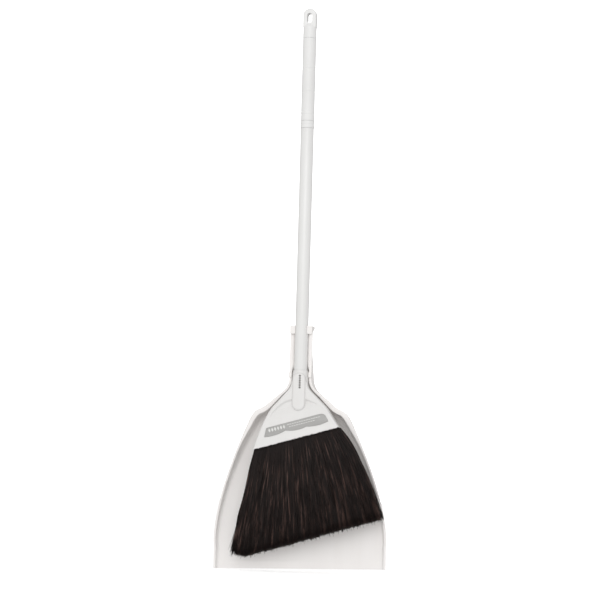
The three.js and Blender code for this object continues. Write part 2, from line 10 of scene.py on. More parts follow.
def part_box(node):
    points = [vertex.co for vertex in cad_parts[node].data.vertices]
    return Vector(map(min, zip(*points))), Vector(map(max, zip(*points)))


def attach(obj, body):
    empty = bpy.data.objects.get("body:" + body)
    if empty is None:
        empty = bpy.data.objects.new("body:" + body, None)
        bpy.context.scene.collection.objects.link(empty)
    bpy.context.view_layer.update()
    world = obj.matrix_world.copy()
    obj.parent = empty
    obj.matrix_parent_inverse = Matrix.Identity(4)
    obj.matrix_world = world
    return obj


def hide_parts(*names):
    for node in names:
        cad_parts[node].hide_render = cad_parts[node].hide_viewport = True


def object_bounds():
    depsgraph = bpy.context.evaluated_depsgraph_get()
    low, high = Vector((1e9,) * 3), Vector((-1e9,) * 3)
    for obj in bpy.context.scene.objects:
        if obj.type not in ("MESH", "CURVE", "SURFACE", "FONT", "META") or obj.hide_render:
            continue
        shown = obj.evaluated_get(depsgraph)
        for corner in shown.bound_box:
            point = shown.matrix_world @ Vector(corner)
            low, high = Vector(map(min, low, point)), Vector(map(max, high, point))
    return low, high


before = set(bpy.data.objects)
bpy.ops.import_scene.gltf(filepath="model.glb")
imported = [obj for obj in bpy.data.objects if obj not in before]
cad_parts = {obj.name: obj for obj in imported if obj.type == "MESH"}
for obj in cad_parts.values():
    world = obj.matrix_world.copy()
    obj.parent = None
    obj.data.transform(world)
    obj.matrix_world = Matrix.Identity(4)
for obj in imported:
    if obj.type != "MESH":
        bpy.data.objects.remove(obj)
cad_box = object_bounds()

# The looks of a dust pan and brush set. Shapes are drawn in millimetres with heights measured
# from the pan's lip, as in the part's own source, and are moved into the frame when a mesh is made.

# ---- Driving dimensions -----------------------------------------------------------------------

MM = 0.001
SLOT_ABOVE_LIP = 786.0
TOTAL_HEIGHT = 800.0
FIT_GAP = 0.3  # clearance between pieces that are out of sight
SEAM_GAP = 0.12  # what shows of the joints between the handle's pieces

PIPE_RADIUS = 9.5
PIPE_BORE = 8.7
PIPE_BOTTOM, PIPE_TOP = 243.0, 627.0
GRIP_RADIUS, GRIP_BORE = 9.7, 7.5
GRIP_BOTTOM, GRIP_TOP = 637.5, 757.0
GRIP_GROOVES = (646.5, 679.5, 713.0)
GRIP_SPIGOT_RADIUS, GRIP_SPIGOT_BORE, GRIP_SPIGOT_LENGTH = 8.4, 6.8, 42.0
CAP_SPIGOT_LENGTH = 26.0
FERRULE_RADIUS = 9.95
LOOP_HALF_WIDTH, LOOP_HALF_DEPTH, LOOP_FOOT = 9.6, 6.5, 775.0
SLOT_HALF_WIDTH, SLOT_HALF_HEIGHT = 3.4, 7.0

HEAD_HALF_DEPTH = 11.0
HEAD_SLANT = math.tan(math.radians(15.8))
HEAD_EDGE_MIDDLE = 184.3
HEAD_WALL = 2.0
BLOCK_HEIGHT = 15.0
SOCKET_RADIUS, SOCKET_SHOULDER, SOCKET_TOP = 11.5, 275.0, 281.0
RIB_HALF_WIDTH, RIB_FRONT, RIB_BOTTOM, RIB_BEVEL = 9.3, -14.0, 223.5, 2.8
ARCH_CENTRE, ARCH_RADIUS, ARCH_SILL, ARCH_DEPTH, ARCH_RISE = (1.0, 195.5), 43.0, 223.5, 2.6, 9.0
LABEL_SINK, LABEL_FRONT = 0.8, -11.4
SCREWS = {"head_screw_left": (-42, 209), "head_screw_right": (41, 217.6), "head_screw_top": (0, 264)}
SCREW_HEAD_RADIUS = 3.2

PAN_BACK, PAN_WALL = 36.0, 2.4
RIM_WIDTH, SHOULDER_RIM, FLANGE, FLANGE_THICKNESS = 3.4, 4.0, 1.4, 2.4
PAN_DRAFT = 0.02 / PAN_BACK
LIP_HALF_WIDTH, LIP_SLOPE, LIP_EDGE, LIP_RAMP = 126.0, 0.022, 0.9, 10.8
CHANNEL_RADIUS, CHANNEL_BORE, CHANNEL_FRONT = 16.0, 12.1, -2.5
SNUG_BORE, SNUG_BOTTOM = 9.8, 282.0
CHANNEL_TOP, COLLAR_HEIGHT = 344.0, 11.5
HEEL_START, HEEL_TOP, HEEL_TOP_DEPTH = 249.0, 312.0, 4.0

FLOOR_GLOW, SIDE_LIGHT, FRONT_LIGHT, KEY_LIGHT = 0.45, 0.66, 1.02, 0.68
CAMERA_AZIMUTH, CAMERA_ROLL, CAMERA_LENS = 10.0, 1.57, 143.65
CAMERA_DISTANCE, CAMERA_HEIGHT = 3.4, -0.68
AIM_LEFT, AIM_DEPTH, AIM_HEIGHT = 0.0055, 0.01, -0.4043

TUFTS_PER_ROW = 14
# Paler strands that are painted highlights: strands, clumps and steps along each.
SHEEN_STRANDS, SHEEN_CLUMPS, SHEEN_STEPS = 3200, 420, 16
# Short root strands darkened as painted shade under the head: strands, clumps and steps along each.
SHADE_STRANDS, SHADE_CLUMPS, SHADE_STEPS = 1500, 110, 3
ROW_CLUMPS, ROW_STEPS = 230, 8
LEFT_STRANDS = ((-61.5, 0.0), (-77.0, 95.0), (-88.0, 14.0))
RIGHT_STRANDS = ((57.5, 0.0), (86.5, 170.0), (118.5, 75.5))

# ---- Curves and outlines ----------------------------------------------------------------------


def bezier(points, steps):
    """Points along one curve with the given control points."""
    layer = [np.outer(np.ones(steps + 1), p) for p in np.asarray(points, float)]
    t = np.linspace(0, 1, steps + 1)[:, None]
    while len(layer) > 1:
        layer = [a * (1 - t) + b * t for a, b in zip(layer, layer[1:])]
    return layer[0]


def chain(*curves):
    """Joins curves that follow on from each other, leaving out doubled ends."""
    return np.vstack([curves[0]] + [c[1:] for c in curves[1:]])


def arc(centre, radius, start, end, steps):
    angle = np.radians(np.linspace(start, end, steps + 1))
    return np.stack([centre[0] + radius * np.cos(angle), centre[1] + radius * np.sin(angle)], 1)


def normals(points, closed):
    """Unit normals to the left of the direction of travel."""
    points = np.asarray(points, float)
    if closed:
        along = np.roll(points, -1, 0) - np.roll(points, 1, 0)
    else:
        along = np.gradient(points, axis=0)
    along /= np.linalg.norm(along, axis=1)[:, None]
    return np.stack([-along[:, 1], along[:, 0]], 1)


def inset(points, distance, closed=True):
    return points + normals(points, closed) * distance


def evened(points, pitch, closed=True):
    """The same outline with points at an even pitch."""
    line = np.vstack([points, points[:1]]) if closed else points
    reach = np.concatenate([[0], np.cumsum(np.linalg.norm(np.diff(line, axis=0), axis=1))])
    count = max(int(round(reach[-1] / pitch)), 3)
    at = np.linspace(0, reach[-1], count + 1)
    if closed:
        at = at[:-1]
    return np.stack([np.interp(at, reach, line[:, i]) for i in (0, 1)], 1)


def eased(value, start, end):
    """0 below start, 1 above end, with a smooth change between."""
    t = np.clip((value - start) / (end - start), 0, 1)
    return t * t * (3 - 2 * t)


# ---- Meshes -----------------------------------------------------------------------------------


def new_object(name, verts, faces):
    """An object from points in millimetres above the lip, with its faces pointing out."""
    mesh = bpy.data.meshes.new(name)
    placed = (np.asarray(verts, float) - [0, 0, SLOT_ABOVE_LIP]) * MM
    mesh.from_pydata(placed.tolist(), [], faces)
    work = bmesh.new()
    work.from_mesh(mesh)
    bmesh.ops.remove_doubles(work, verts=work.verts, dist=1e-7)
    bmesh.ops.recalc_face_normals(work, faces=work.faces)
    work.to_mesh(mesh)
    work.free()
    thing = bpy.data.objects.new(name, mesh)
    bpy.context.scene.collection.objects.link(thing)
    return thing


def grid_faces(rows, columns, wrap_rows=False):
    """Quads between closed rows of equally many points."""
    return [
        (r * columns + c, r * columns + (c + 1) % columns,
         (r + 1) % rows * columns + (c + 1) % columns, (r + 1) % rows * columns + c)
        for r in range(rows if wrap_rows else rows - 1)
        for c in range(columns)
    ]


def capped(ring, first):
    """Triangles that close a flat ring of points whose numbers start at first."""
    return [tuple(first + i for i in tri) for tri in tessellate_polygon([[Vector(p) for p in ring]])]


def lofted(name, rings):
    """A closed body through equal rings of 3-D points, with flat ends."""
    count, size = len(rings), len(rings[0])
    faces = grid_faces(count, size)
    faces += capped(rings[0], 0) + capped(rings[-1], (count - 1) * size)
    return new_object(name, np.vstack(rings), faces)


def turned(name, profile, sides=96):
    """A body of revolution about the pipe's axis, from a closed [radius, height] outline."""
    angle = np.linspace(0, 2 * math.pi, sides, endpoint=False)
    rows = [np.stack([np.cos(angle) * r, np.sin(angle) * r, np.full(sides, z)], 1) for r, z in profile]
    return new_object(name, np.vstack(rows), grid_faces(len(rows), sides, wrap_rows=True))


def plate(name, outline, front, back, round_over=0.0, steps=4):
    """An outline in X and Z as a plate between two depths, with rounded edges if asked."""
    rings = []
    turn = np.linspace(0, math.pi / 2, steps + 1) if round_over else [math.pi / 2]
    for t in turn:
        line = inset(outline, round_over * (1 - math.sin(t)))
        rings.append((line, front + round_over * (1 - math.cos(t))))
    rings += [(line, front + back - depth) for line, depth in rings[::-1]]
    solid = [np.stack([line[:, 0], np.full(len(line), depth), line[:, 1]], 1) for line, depth in rings]
    return lofted(name, solid)


def applied(thing):
    """Replaces an object's mesh by what its modifiers make of it."""
    bpy.context.view_layer.update()
    made = bpy.data.meshes.new_from_object(thing.evaluated_get(bpy.context.evaluated_depsgraph_get()))
    thing.modifiers.clear()
    old, thing.data = thing.data, made
    bpy.data.meshes.remove(old)
    return thing


def carved(thing, tool, operation="DIFFERENCE"):
    """Joins a tool to an object, cuts it away or keeps what they share, and deletes the tool."""
    step = thing.modifiers.new("carve", "BOOLEAN")
    step.operation, step.solver, step.object = operation, "EXACT", tool
    applied(thing)
    bpy.data.objects.remove(tool)
    return thing


def softened(thing, voxel, rounds, keep):
    """Gives a carved body the small radii of a moulding."""
    remesh = thing.modifiers.new("remesh", "REMESH")
    remesh.mode, remesh.voxel_size = "VOXEL", voxel * MM
    smooth = thing.modifiers.new("smooth", "SMOOTH")
    smooth.factor, smooth.iterations = 0.5, rounds
    fewer = thing.modifiers.new("fewer", "DECIMATE")
    fewer.ratio = keep
    return applied(thing)


def finished(thing, material, body, nodes=(), sharp=38):
    """Shades a piece, says what it is made of and what it rides on, and hides the nodes it stands for."""
    thing.data.materials.clear()
    thing.data.materials.append(material)
    thing.data.polygons.foreach_set("use_smooth", [True] * len(thing.data.polygons))
    thing.data.set_sharp_from_angle(angle=math.radians(sharp))
    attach(thing, body)
    if nodes:
        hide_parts(*nodes)


def merged(name, things):
    """One object from several, for pieces that repeat."""
    work = bmesh.new()
    for thing in things:
        work.from_mesh(thing.data)
    mesh = bpy.data.meshes.new(name)
    work.to_mesh(mesh)
    work.free()
    for thing in things:
        bpy.data.objects.remove(thing)
    joined = bpy.data.objects.new(name, mesh)
    bpy.context.scene.collection.objects.link(joined)
    return joined


# ---- Materials --------------------------------------------------------------------------------


class Shader:
    """A material under construction: its nodes are added and linked by short calls."""

    def __init__(self, name, roughness, metallic=0.0):
        self.material = bpy.data.materials.new(name)
        self.material.use_nodes = True
        self.tree = self.material.node_tree
        self.surface = self.tree.nodes["Principled BSDF"]
        self.surface.inputs["Roughness"].default_value = roughness
        self.surface.inputs["Metallic"].default_value = metallic
        self.place = self.add("ShaderNodeTexCoord").outputs["Object"]

    def add(self, kind, **settings):
        node = self.tree.nodes.new(kind)
        for key, value in settings.items():
            setattr(node, key, value)
        return node

    def link(self, source, target):
        self.tree.links.new(source, target)

    def noise(self, scale, detail=3.0, stretch=None):
        """Noise with features of about 1/scale metres, stretched along the axes if asked."""
        node = self.add("ShaderNodeTexNoise")
        node.inputs["Scale"].default_value = scale
        node.inputs["Detail"].default_value = detail
        place = self.place
        if stretch:
            mapping = self.add("ShaderNodeMapping")
            mapping.inputs["Scale"].default_value = stretch
            self.link(place, mapping.inputs["Vector"])
            place = mapping.outputs["Vector"]
        self.link(place, node.inputs["Vector"])
        return node.outputs["Fac"]

    def ramp(self, factor, stops):
        """A colour that changes with a factor, through [position, colour] stops."""
        node = self.add("ShaderNodeValToRGB")
        elements = node.color_ramp.elements
        for i, (position, colour) in enumerate(stops):
            stop = elements[i] if i < 2 else elements.new(position)
            stop.position = position
            stop.color = (*colour, 1)
        self.link(factor, node.inputs["Fac"])
        return node.outputs["Color"]

    def multiplied(self, a, b, amount=1.0):
        """One colour darkened or lightened by another, wholly or by an amount."""
        node = self.add("ShaderNodeMix", data_type="RGBA", blend_type="MULTIPLY")
        node.inputs["Factor"].default_value = amount
        self.link(a, node.inputs["A"])
        self.link(b, node.inputs["B"])
        return node.outputs["Result"]

    def colour(self, source):
        self.link(source, self.surface.inputs["Base Color"])

    def rough(self, factor, low, high):
        node = self.add("ShaderNodeMapRange")
        node.inputs["To Min"].default_value = low
        node.inputs["To Max"].default_value = high
        self.link(factor, node.inputs["Value"])
        self.link(node.outputs["Result"], self.surface.inputs["Roughness"])

    def bumps(self, *layers):
        """Bump from [height, strength, depth in millimetres] layers."""
        before = None
        for height, strength, depth in layers:
            node = self.add("ShaderNodeBump")
            node.inputs["Strength"].default_value = strength
            node.inputs["Distance"].default_value = depth * MM
            self.link(height, node.inputs["Height"])
            if before:
                self.link(before, node.inputs["Normal"])
            before = node.outputs["Normal"]
        self.link(before, self.surface.inputs["Normal"])


def tinted(colour, amount):
    return tuple(min(1.0, c * amount) for c in colour)


def moulded_plastic(name, colour, roughness, grain=1900.0):
    """White moulded plastic: faint clouds, flow lines and a fine satin grain."""
    shader = Shader(name, roughness)
    clouds = shader.ramp(shader.noise(11.0, 4.0), [
        (0.3, tinted(colour, 0.97)), (0.55, colour), (0.8, tinted(colour, 1.015))])
    flow = shader.ramp(shader.noise(24.0, 2.0, (3.0, 3.0, 0.4)), [
        (0.35, (0.975, 0.972, 0.968)), (0.6, (1.0, 1.0, 1.0))])
    shader.colour(shader.multiplied(clouds, flow, 0.6))
    shader.rough(shader.noise(70.0, 4.0), roughness - 0.06, roughness + 0.08)
    shader.bumps((shader.noise(grain, 2.0), 0.10, 0.05), (shader.noise(26.0, 1.0), 0.08, 0.35))
    shader.surface.inputs["IOR"].default_value = 1.49
    return shader.material


def coated_pipe():
    """Thin-walled steel pipe in a smooth white coat, with faint drawing lines along it."""
    colour = (0.80, 0.80, 0.79)
    shader = Shader("pipe_white_coating", 0.3)
    lines = shader.ramp(shader.noise(420.0, 3.0, (1.0, 1.0, 0.02)), [
        (0.3, tinted(colour, 0.975)), (0.7, colour)])
    clouds = shader.ramp(shader.noise(16.0, 3.0), [(0.3, (0.98, 0.98, 0.98)), (0.7, (1.0, 1.0, 1.0))])
    shader.colour(shader.multiplied(lines, clouds))
    shader.rough(shader.noise(90.0, 3.0), 0.26, 0.38)
    shader.bumps(
        (shader.noise(800.0, 2.0), 0.06, 0.06),
        (shader.noise(420.0, 2.0, (1.0, 1.0, 0.02)), 0.05, 0.05))
    shader.surface.inputs["Coat Weight"].default_value = 0.15
    shader.surface.inputs["Coat Roughness"].default_value = 0.25
    return shader.material


def bristle_hair():
    """Dark brown hair. Each strand carries its own tone, which holds painted shade near the roots and
    painted highlights on the paler strands, so tips are a little paler.
    """
    shader = Shader("bristle_hair", 0.5)
    tone = shader.add("ShaderNodeAttribute", attribute_name="tone").outputs["Fac"]
    base = shader.ramp(tone, [
        (0.0, (0.0065, 0.0032, 0.0026)), (0.4, (0.0150, 0.0080, 0.0064)),
        (0.7, (0.056, 0.033, 0.027)), (1.0, (0.185, 0.118, 0.099))])
    patches = shader.ramp(shader.noise(160.0, 3.0, (1.0, 1.0, 0.25)), [
        (0.3, (0.62, 0.60, 0.60)), (0.7, (1.15, 1.1, 1.1))])
    shader.colour(shader.multiplied(base, patches))
    shader.rough(shader.noise(900.0, 2.0), 0.42, 0.62)
    shader.bumps((shader.noise(3200.0, 2.0), 0.2, 0.04))
    shader.surface.inputs["Specular IOR Level"].default_value = 0.2
    return shader.material


def grey_label():
    colour = (0.392, 0.388, 0.378)
    shader = Shader("label_grey_film", 0.4)
    lines = shader.ramp(shader.noise(1500.0, 2.0, (0.06, 1.0, 1.0)), [
        (0.3, tinted(colour, 0.95)), (0.7, tinted(colour, 1.04))])
    clouds = shader.ramp(shader.noise(60.0, 3.0), [(0.3, (0.97, 0.97, 0.97)), (0.7, (1.0, 1.0, 1.0))])
    shader.colour(shader.multiplied(lines, clouds))
    shader.rough(shader.noise(300.0, 3.0), 0.34, 0.5)
    shader.bumps((shader.noise(1500.0, 2.0, (0.06, 1.0, 1.0)), 0.12, 0.04))
    return shader.material


def printed_ink(name, colour, roughness=0.5):
    shader = Shader(name, roughness)
    shader.colour(shader.ramp(shader.noise(900.0, 3.0), [
        (0.3, tinted(colour, 0.88)), (0.7, tinted(colour, 1.06))]))
    shader.rough(shader.noise(500.0, 2.0), roughness - 0.08, roughness + 0.1)
    shader.bumps((shader.noise(1800.0, 2.0), 0.15, 0.03))
    return shader.material


def block_wood():
    """Pale wood with the grain running along the block."""
    shader = Shader("block_wood", 0.7)
    rings = shader.noise(240.0, 5.0, (0.05, 1.0, 1.0))
    shader.colour(shader.ramp(rings, [
        (0.25, (0.30, 0.19, 0.10)), (0.5, (0.47, 0.33, 0.19)), (0.75, (0.58, 0.43, 0.27))]))
    shader.rough(rings, 0.62, 0.8)
    shader.bumps((rings, 0.4, 0.2), (shader.noise(1600.0, 3.0, (0.1, 1.0, 1.0)), 0.3, 0.08))
    return shader.material


def screw_steel():
    shader = Shader("screw_steel", 0.32, 1.0)
    shader.colour(shader.ramp(shader.noise(420.0, 4.0), [
        (0.3, (0.46, 0.46, 0.46)), (0.7, (0.66, 0.66, 0.65))]))
    shader.rough(shader.noise(1100.0, 3.0), 0.24, 0.42)
    shader.bumps((shader.noise(2600.0, 3.0), 0.15, 0.03))
    return shader.material


HEAD_WHITE = moulded_plastic("head_white_plastic", (0.765, 0.758, 0.748), 0.42)
GRIP_WHITE = moulded_plastic("grip_white_plastic", (0.80, 0.80, 0.795), 0.46, 1400.0)
PAN_WHITE = moulded_plastic("pan_white_plastic", (0.83, 0.81, 0.797), 0.44)
# Painted light: the pan's plastic glows faintly warm, standing in for light that shines through its thin
# walls; the pan is no lamp.
PAN_PAINTED_GLOW = PAN_WHITE.node_tree.nodes["Principled BSDF"].inputs
PAN_PAINTED_GLOW["Emission Color"].default_value = (1.0, 0.93, 0.89, 1.0)
PAN_PAINTED_GLOW["Emission Strength"].default_value = 0.055
PIPE_COAT = coated_pipe()
HAIR = bristle_hair()
LABEL_GREY = grey_label()
PALE_INK = printed_ink("label_pale_ink", (0.72, 0.72, 0.70))
DARK_INK = printed_ink("socket_dark_ink", (0.06, 0.05, 0.05))
WOOD = block_wood()
STEEL = screw_steel()

# ---- Handle -----------------------------------------------------------------------------------


def rounded_tube(inner, outer, bottom, top, edge=0.3):
    """Outline of a tube's wall, with its edges eased."""
    return [
        (outer, bottom + edge), (outer, top - edge), (outer - edge * 0.3, top - edge * 0.3),
        (outer - edge, top), (inner, top), (inner, bottom), (outer - edge, bottom),
        (outer - edge * 0.3, bottom + edge * 0.3),
    ]


def ring_groove(radius, height, half_width=1.5, depth=0.35, steps=8):
    """A groove of smooth section across a sleeve's outline."""
    turn = np.linspace(-1, 1, steps + 1)
    return [(radius - depth * (0.5 + 0.5 * math.cos(math.pi * t)), height + half_width * t) for t in turn]


def handle():
    pipe = turned("pipe", rounded_tube(PIPE_BORE, PIPE_RADIUS, PIPE_BOTTOM, PIPE_TOP))
    finished(pipe, PIPE_COAT, "broom", ["handle_pipe"])

    outline = [(GRIP_RADIUS - 0.5, GRIP_BOTTOM), (GRIP_RADIUS - 0.1, GRIP_BOTTOM + 0.25)]
    outline.append((GRIP_RADIUS, GRIP_BOTTOM + 0.8))
    for height in GRIP_GROOVES:
        outline += ring_groove(GRIP_RADIUS, height)
        outline += ring_groove(GRIP_RADIUS, height + 4.6, 0.9, 0.12)
    outline += [
        (GRIP_RADIUS, GRIP_TOP - 0.3), (GRIP_RADIUS - 0.1, GRIP_TOP - 0.1), (GRIP_RADIUS - 0.3, GRIP_TOP),
        (GRIP_BORE, GRIP_TOP), (GRIP_BORE, GRIP_BOTTOM + 4), (GRIP_SPIGOT_BORE, GRIP_BOTTOM),
        (GRIP_SPIGOT_BORE, PIPE_TOP - GRIP_SPIGOT_LENGTH),
        (GRIP_SPIGOT_RADIUS, PIPE_TOP - GRIP_SPIGOT_LENGTH),
        (GRIP_SPIGOT_RADIUS, GRIP_BOTTOM),
    ]
    finished(turned("grip", outline), GRIP_WHITE, "broom", ["grip_sleeve"])

    low, high = PIPE_TOP + SEAM_GAP, GRIP_BOTTOM - SEAM_GAP
    middle = (low + high) / 2
    band = [(PIPE_RADIUS - 0.1, low), (FERRULE_RADIUS - 0.1, low + 0.3), (FERRULE_RADIUS, low + 0.9)]
    band += ring_groove(FERRULE_RADIUS, middle, 1.6, 0.35)
    band += [
        (FERRULE_RADIUS, high - 0.9), (FERRULE_RADIUS - 0.1, high - 0.3), (PIPE_RADIUS - 0.1, high),
        (PIPE_BORE, high), (PIPE_BORE, low),
    ]
    finished(turned("ferrule", band), GRIP_WHITE, "broom", ["joint_ferrule"])


def stadium(half_width, bottom, top, steps=24):
    """An upright outline with round ends."""
    high = arc((0, top - half_width), half_width, 0, 180, steps)
    low = arc((0, bottom + half_width), half_width, 180, 360, steps)
    return np.vstack([high, low])


def hanging_loop():
    foot = GRIP_TOP + SEAM_GAP
    neck = turned("neck", [
        (0.01, foot), (GRIP_RADIUS - 0.25, foot), (GRIP_RADIUS, foot + 0.3),
        (GRIP_RADIUS, LOOP_FOOT - 3.5), (GRIP_RADIUS - 0.5, LOOP_FOOT - 1.2),
        (GRIP_RADIUS - 1.7, LOOP_FOOT + 0.5), (6.6, LOOP_FOOT + 3.4), (0.01, LOOP_FOOT + 4),
    ], 72)
    outline = np.vstack([
        arc((0, TOTAL_HEIGHT - LOOP_HALF_WIDTH), LOOP_HALF_WIDTH, 0, 180, 40),
        [(-LOOP_HALF_WIDTH, LOOP_FOOT - 2.0), (-LOOP_HALF_WIDTH + 3.0, LOOP_FOOT - 5.0)],
        [(LOOP_HALF_WIDTH - 3.0, LOOP_FOOT - 5.0), (LOOP_HALF_WIDTH, LOOP_FOOT - 2.0)],
    ])
    loop = plate("loop", evened(outline, 0.8), -LOOP_HALF_DEPTH, LOOP_HALF_DEPTH, 2.2, 6)
    body = carved(loop, neck, "UNION")
    slot = stadium(SLOT_HALF_WIDTH, SLOT_ABOVE_LIP - SLOT_HALF_HEIGHT, SLOT_ABOVE_LIP + SLOT_HALF_HEIGHT)
    carved(body, plate("slot", slot, -12, 12))
    body.name = "hanging_loop"
    softened(body, 0.28, 4, 0.5)
    rod = rounded_tube(0.01, GRIP_BORE - FIT_GAP, GRIP_TOP - CAP_SPIGOT_LENGTH, foot + 0.5)
    spigot = turned("cap_spigot", rod, 48)
    finished(spigot, GRIP_WHITE, "broom")
    finished(body, GRIP_WHITE, "broom", ["hanging_cap"], 50)


# ---- Brush head -------------------------------------------------------------------------------


def edge_height(x, lift=0.0):
    """Height of the head's slanted lower edge."""
    return HEAD_EDGE_MIDDLE + lift + x * HEAD_SLANT


def fan_side(corner, bend, shoulder, steps=10):
    """One side of the fan, from well below its corner up into the socket, drawn on the right."""
    x, z = corner[0] + 3, corner[1] - 40
    return chain(
        bezier([(x - 4, z), (x, z), (x, z + 4)], 8),
        np.array([(x, z + 4), corner], float),
        bezier([corner, bend, (shoulder, 221.8)], steps),
        bezier([(shoulder, 221.8), (shoulder - 3.7, 228.5), (shoulder - 9.9, 234.2)], steps),
        np.array([(shoulder - 9.9, 234.2), (16, 252.2)]),
        bezier([(16, 252.2), (12, 256.8), (SOCKET_RADIUS, 262)], steps),
        bezier([(SOCKET_RADIUS, 262), (SOCKET_RADIUS, 266), (SOCKET_RADIUS - 4, 266)], 8),
    )


def fan_outline(margin=0.0):
    """The fan drawn in by a margin: lower at its left-hand corner than at its right."""
    right = inset(fan_side((59.5, 199.0), (51.5, 211.0), 44.2), margin, closed=False)
    left = inset(fan_side((64.5, 166.0), (52.5, 205.0), 42.0), margin, closed=False)
    return np.vstack([right, (left * [-1, 1])[::-1]])


def slanted_half(height, above):
    """The space above or below the slanted line at the given height on the centre line."""
    reach, far = 160.0, 420.0 if above else 60.0
    rise = reach * HEAD_SLANT
    line = [(-reach, height - rise), (reach, height + rise), (reach, far), (-reach, far)]
    return plate("half", np.array(line if above else line[::-1]), -60, 60)


def arch_tool():
    """The arched recess in the front of the head: deepest along the arch, flush at its sill."""
    rings = []
    for radius, depth in ((ARCH_RADIUS + 2.4, -30.0), (ARCH_RADIUS + 2.4, -HEAD_HALF_DEPTH),
                          (ARCH_RADIUS, ARCH_DEPTH - HEAD_HALF_DEPTH), (ARCH_RADIUS, 0.0)):
        line = arc(ARCH_CENTRE, radius, 0, 180, 64)
        rings.append(np.stack([line[:, 0], np.full(len(line), depth), line[:, 1]], 1))
    floor = ARCH_DEPTH - HEAD_HALF_DEPTH
    side = [(-40, -ARCH_RISE), (-HEAD_HALF_DEPTH, 0), (floor, ARCH_RISE), (floor, 60), (-40, 60)]
    wedge = [np.array([(x, y, ARCH_SILL + x * HEAD_SLANT + z) for y, z in side]) for x in (-90.0, 90.0)]
    return carved(lofted("arch", rings), lofted("wedge", wedge), "INTERSECT")


def screw_tool(place, radius, front, back):
    return plate("hole", arc(place, radius, 0, 360, 32)[:-1], front, back)


def whole_head():
    fan = plate("fan", evened(fan_outline(), 1.2), -HEAD_HALF_DEPTH, HEAD_HALF_DEPTH, 2.6, 6)
    socket = turned("socket", [
        (0.01, 238), (SOCKET_RADIUS - 0.6, 238), (SOCKET_RADIUS, 248), (SOCKET_RADIUS, SOCKET_SHOULDER),
        (SOCKET_RADIUS - 0.6, SOCKET_SHOULDER + 2.2), (PIPE_RADIUS + 0.8, SOCKET_TOP), (0.01, SOCKET_TOP),
    ])
    head = carved(fan, socket, "UNION")
    carved(head, slanted_half(HEAD_EDGE_MIDDLE, True), "INTERSECT")
    cavity = plate("cavity", fan_outline(HEAD_WALL), -9, 9)
    carved(cavity, slanted_half(HEAD_EDGE_MIDDLE + BLOCK_HEIGHT + 0.4, False), "INTERSECT")
    carved(head, cavity)
    carved(head, arch_tool())
    rib = stadium(RIB_HALF_WIDTH, RIB_BOTTOM, SOCKET_TOP - 4.0)
    carved(head, plate("rib", evened(rib, 0.9), RIB_FRONT, HEAD_HALF_DEPTH - 1.0, RIB_BEVEL, 5), "UNION")
    bore = turned("bore", [
        (0.01, PIPE_BOTTOM - FIT_GAP), (PIPE_RADIUS + FIT_GAP, PIPE_BOTTOM - FIT_GAP),
        (PIPE_RADIUS + FIT_GAP, SOCKET_TOP + 5), (0.01, SOCKET_TOP + 5)])
    carved(head, bore)
    carved(head, plate("pocket", label_outline(0), -20, LABEL_SINK - HEAD_HALF_DEPTH))
    for place in SCREWS.values():
        seat = 10.3 if place == SCREWS["head_screw_top"] else 8.4
        carved(head, screw_tool(place, SCREW_HEAD_RADIUS + FIT_GAP, seat, 20))
    return head


def label_outline(shrink):
    """The label: slanted, with a rounded right-hand end and a wavy lower edge."""
    s = shrink
    return chain(
        bezier([(-48 + s, 184.5 + s), (-28, 187.5 + s), (-18, 194.8 + s)], 12),
        bezier([(-18, 194.8 + s), (0, 194 + s), (12, 201.2 + s)], 12),
        bezier([(12, 201.2 + s), (30, 201.5 + s), (43.5 - s, 209.5 + s)], 12),
        np.array([(43.5 - s, 209.5 + s), (39.5 - s, 216.5 - s)]),
        bezier([(39.5 - s, 216.5 - s), (37, 220.5 - s), (31, 219.4 - s)], 8),
        np.array([(31, 219.4 - s), (-45.5 + s, 197.8 - s)]),
    )


def split_shells(head):
    """Cuts the head at its parting plane into a front and a rear shell."""
    gap = FIT_GAP / 2
    for name, low, high, nodes in (
        ("head_front", -60.0, -gap, ["head_front_shell"]), ("head_rear", gap, 60.0, ["head_rear_shell"])
    ):
        half = new_object(name, [(0, 0, 0)], [])
        half.data = head.data.copy()
        box = plate("side", np.array([(-200, 100), (200, 100), (200, 400), (-200, 400)]), low, high)
        carved(half, box, "INTERSECT")
        softened(half, 0.42, 3, 0.4)
        finished(half, HEAD_WHITE, "broom", nodes, 48)
    bpy.data.objects.remove(head)


def slanted_bar(name, x0, x1, height, thickness, front, lift=0.09):
    """A printed bar with round ends along the label's slope."""
    slope = math.atan(HEAD_SLANT) * 0.96
    half = thickness / 2
    line = np.vstack([
        arc((x1 - half, 0), half, -90, 90, 8), arc((x0 + half, 0), half, 90, 270, 8)])
    turn = np.array([[math.cos(slope), math.sin(slope)], [-math.sin(slope), math.cos(slope)]])
    return plate(name, line @ turn + [0, height], front - lift, front + 0.05)


def label():
    board = plate("label", evened(label_outline(FIT_GAP), 0.9), LABEL_FRONT, LABEL_FRONT + 0.9, 0.25, 3)
    finished(board, LABEL_GREY, "broom", ["label_panel"])
    rows = (
        ("label_blocks", 6, -43.5, 4.3, 3.0, 205.6, 5.6),
        ("label_dashes_high", 14, -16.0, 3.5, 2.8, 207.2, 0.9),
        ("label_dashes_low", 11, -13.0, 3.5, 2.7, 203.8, 0.9),
    )
    for name, count, start, pitch, length, height, thickness in rows:
        bars = []
        for i in range(count):
            left = start + pitch * i
            bars.append(slanted_bar("bar", left, left + length, height, thickness, LABEL_FRONT))
        finished(merged(name, bars), PALE_INK, "broom")
    marks = []
    for i in range(6):
        low = 255.0 + 3.3 * i
        line = np.array([(0.2, low), (2.8, low), (2.8, low + 2.2), (0.2, low + 2.2)])
        marks.append(plate("mark", line, RIB_FRONT - 0.08, RIB_FRONT + 0.3))
    finished(merged("socket_marks", marks), DARK_INK, "broom")


